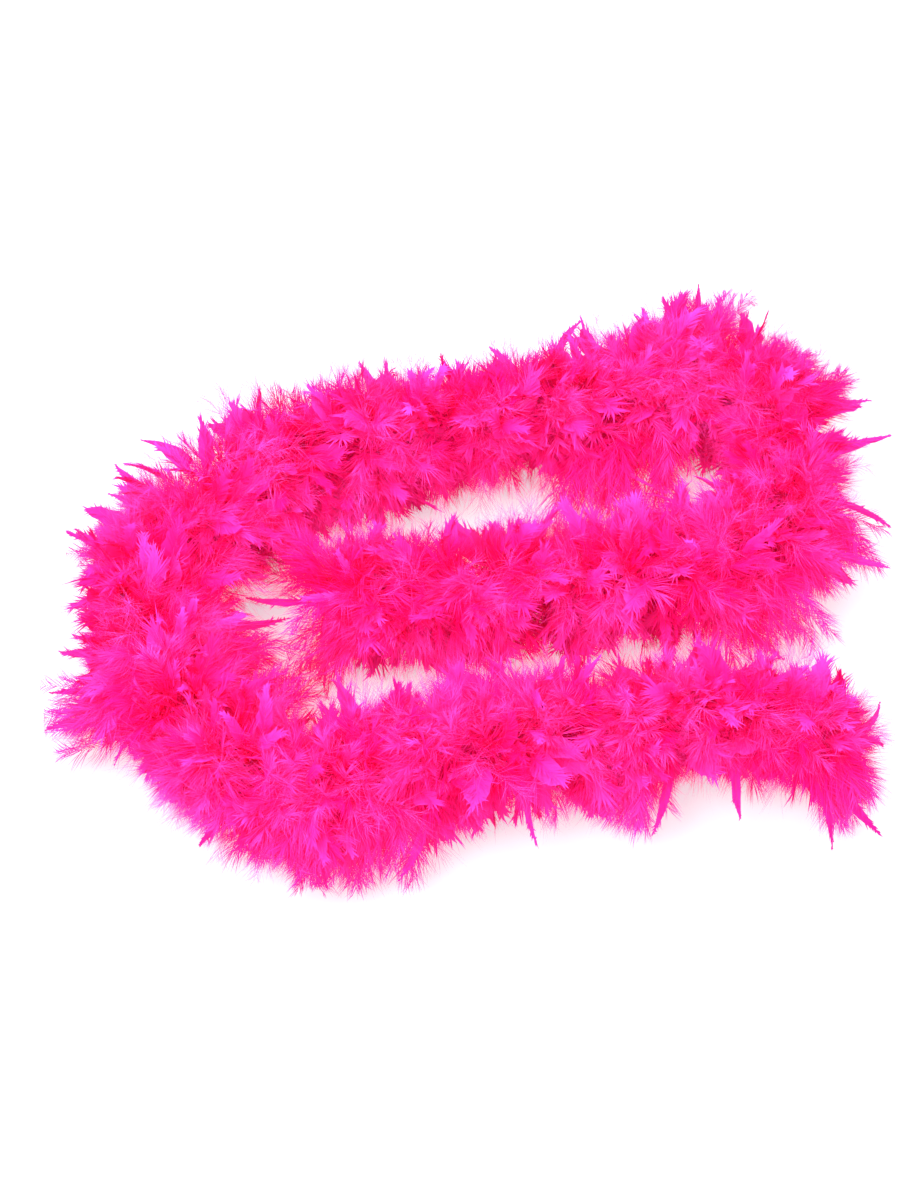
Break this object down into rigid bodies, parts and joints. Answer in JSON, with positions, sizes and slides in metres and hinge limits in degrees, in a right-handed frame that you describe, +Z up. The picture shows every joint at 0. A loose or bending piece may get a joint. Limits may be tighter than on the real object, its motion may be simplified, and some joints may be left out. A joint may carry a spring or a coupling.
{
  "type": "feather boa",
  "caption": "Long fluffy dress-up scarf of dyed feathers on a twisted string core, laid flat in a loose spiral, with knotted ends and loose string tails.",
  "frame": {"origin": "on the surface the boa lies on, under the middle of its bounding box", "axes": "+Z up from the surface, +X along the boa's long straight runs towards the lower end's knot, +Y across the runs towards the top run"},
  "size_m": [0.6143, 0.4922, 0.1028],
  "materials": {
    "feathers": "soft matte down with satin feather blades, dyed hot pink",
    "core_string": "dyed two-ply twisted string",
    "binding_thread": "dyed sewing thread"
  },
  "bodies": {
    "spiral": {"spiral_core": "core_string", "left_bend_feathers_1": "feathers", "left_bend_feathers_2": "feathers", "left_bend_feathers_3": "feathers", "left_bend_feathers_4": "feathers", "top_run_feathers_1": "feathers", "top_run_feathers_2": "feathers", "top_run_feathers_3": "feathers", "top_run_feathers_4": "feathers", "right_bend_feathers_1": "feathers", "right_bend_feathers_2": "feathers", "right_bend_feathers_3": "feathers", "right_bend_feathers_4": "feathers"},
    "lower_run": {"lower_run_core": "core_string", "lower_run_feathers_1": "feathers", "lower_run_feathers_2": "feathers", "lower_run_feathers_3": "feathers"},
    "lower_end": {"lower_end_core": "core_string", "lower_end_feathers_1": "feathers", "lower_end_feathers_2": "feathers", "lower_end_feathers_3": "feathers", "lower_end_whipping": "binding_thread", "lower_end_knot": "core_string", "lower_end_tail_a": "core_string", "lower_end_tail_b": "core_string"},
    "middle_run": {"middle_run_core": "core_string", "middle_run_feathers_1": "feathers", "middle_run_feathers_2": "feathers"},
    "inner_end": {"inner_end_core": "core_string", "inner_end_feathers_1": "feathers", "inner_end_feathers_2": "feathers", "inner_end_whipping": "binding_thread", "inner_end_knot": "core_string", "inner_end_tail_a": "core_string", "inner_end_tail_b": "core_string"}
  },
  "joints": [
    {"name": "lower_run_swing", "type": "hinge", "parent": "spiral", "child": "lower_run", "pos_m": [-0.2152, -0.1443, 0.05], "axis": [0, 0, -1], "range_deg": [0, 40]},
    {"name": "lower_end_lift", "type": "hinge", "parent": "lower_run", "child": "lower_end", "pos_m": [0.0136, -0.1583, 0.05], "axis": [0.1734, -0.9849, 0], "range_deg": [0, 45]},
    {"name": "middle_run_lift", "type": "hinge", "parent": "spiral", "child": "middle_run", "pos_m": [0.1912, 0.0091, 0.05], "axis": [-0.4413, 0.8974, 0], "range_deg": [0, 45]},
    {"name": "inner_end_lift", "type": "hinge", "parent": "middle_run", "child": "inner_end", "pos_m": [0.0435, -0.0117, 0.05], "axis": [-0.1028, 0.9947, 0], "range_deg": [0, 45]}
  ]
}
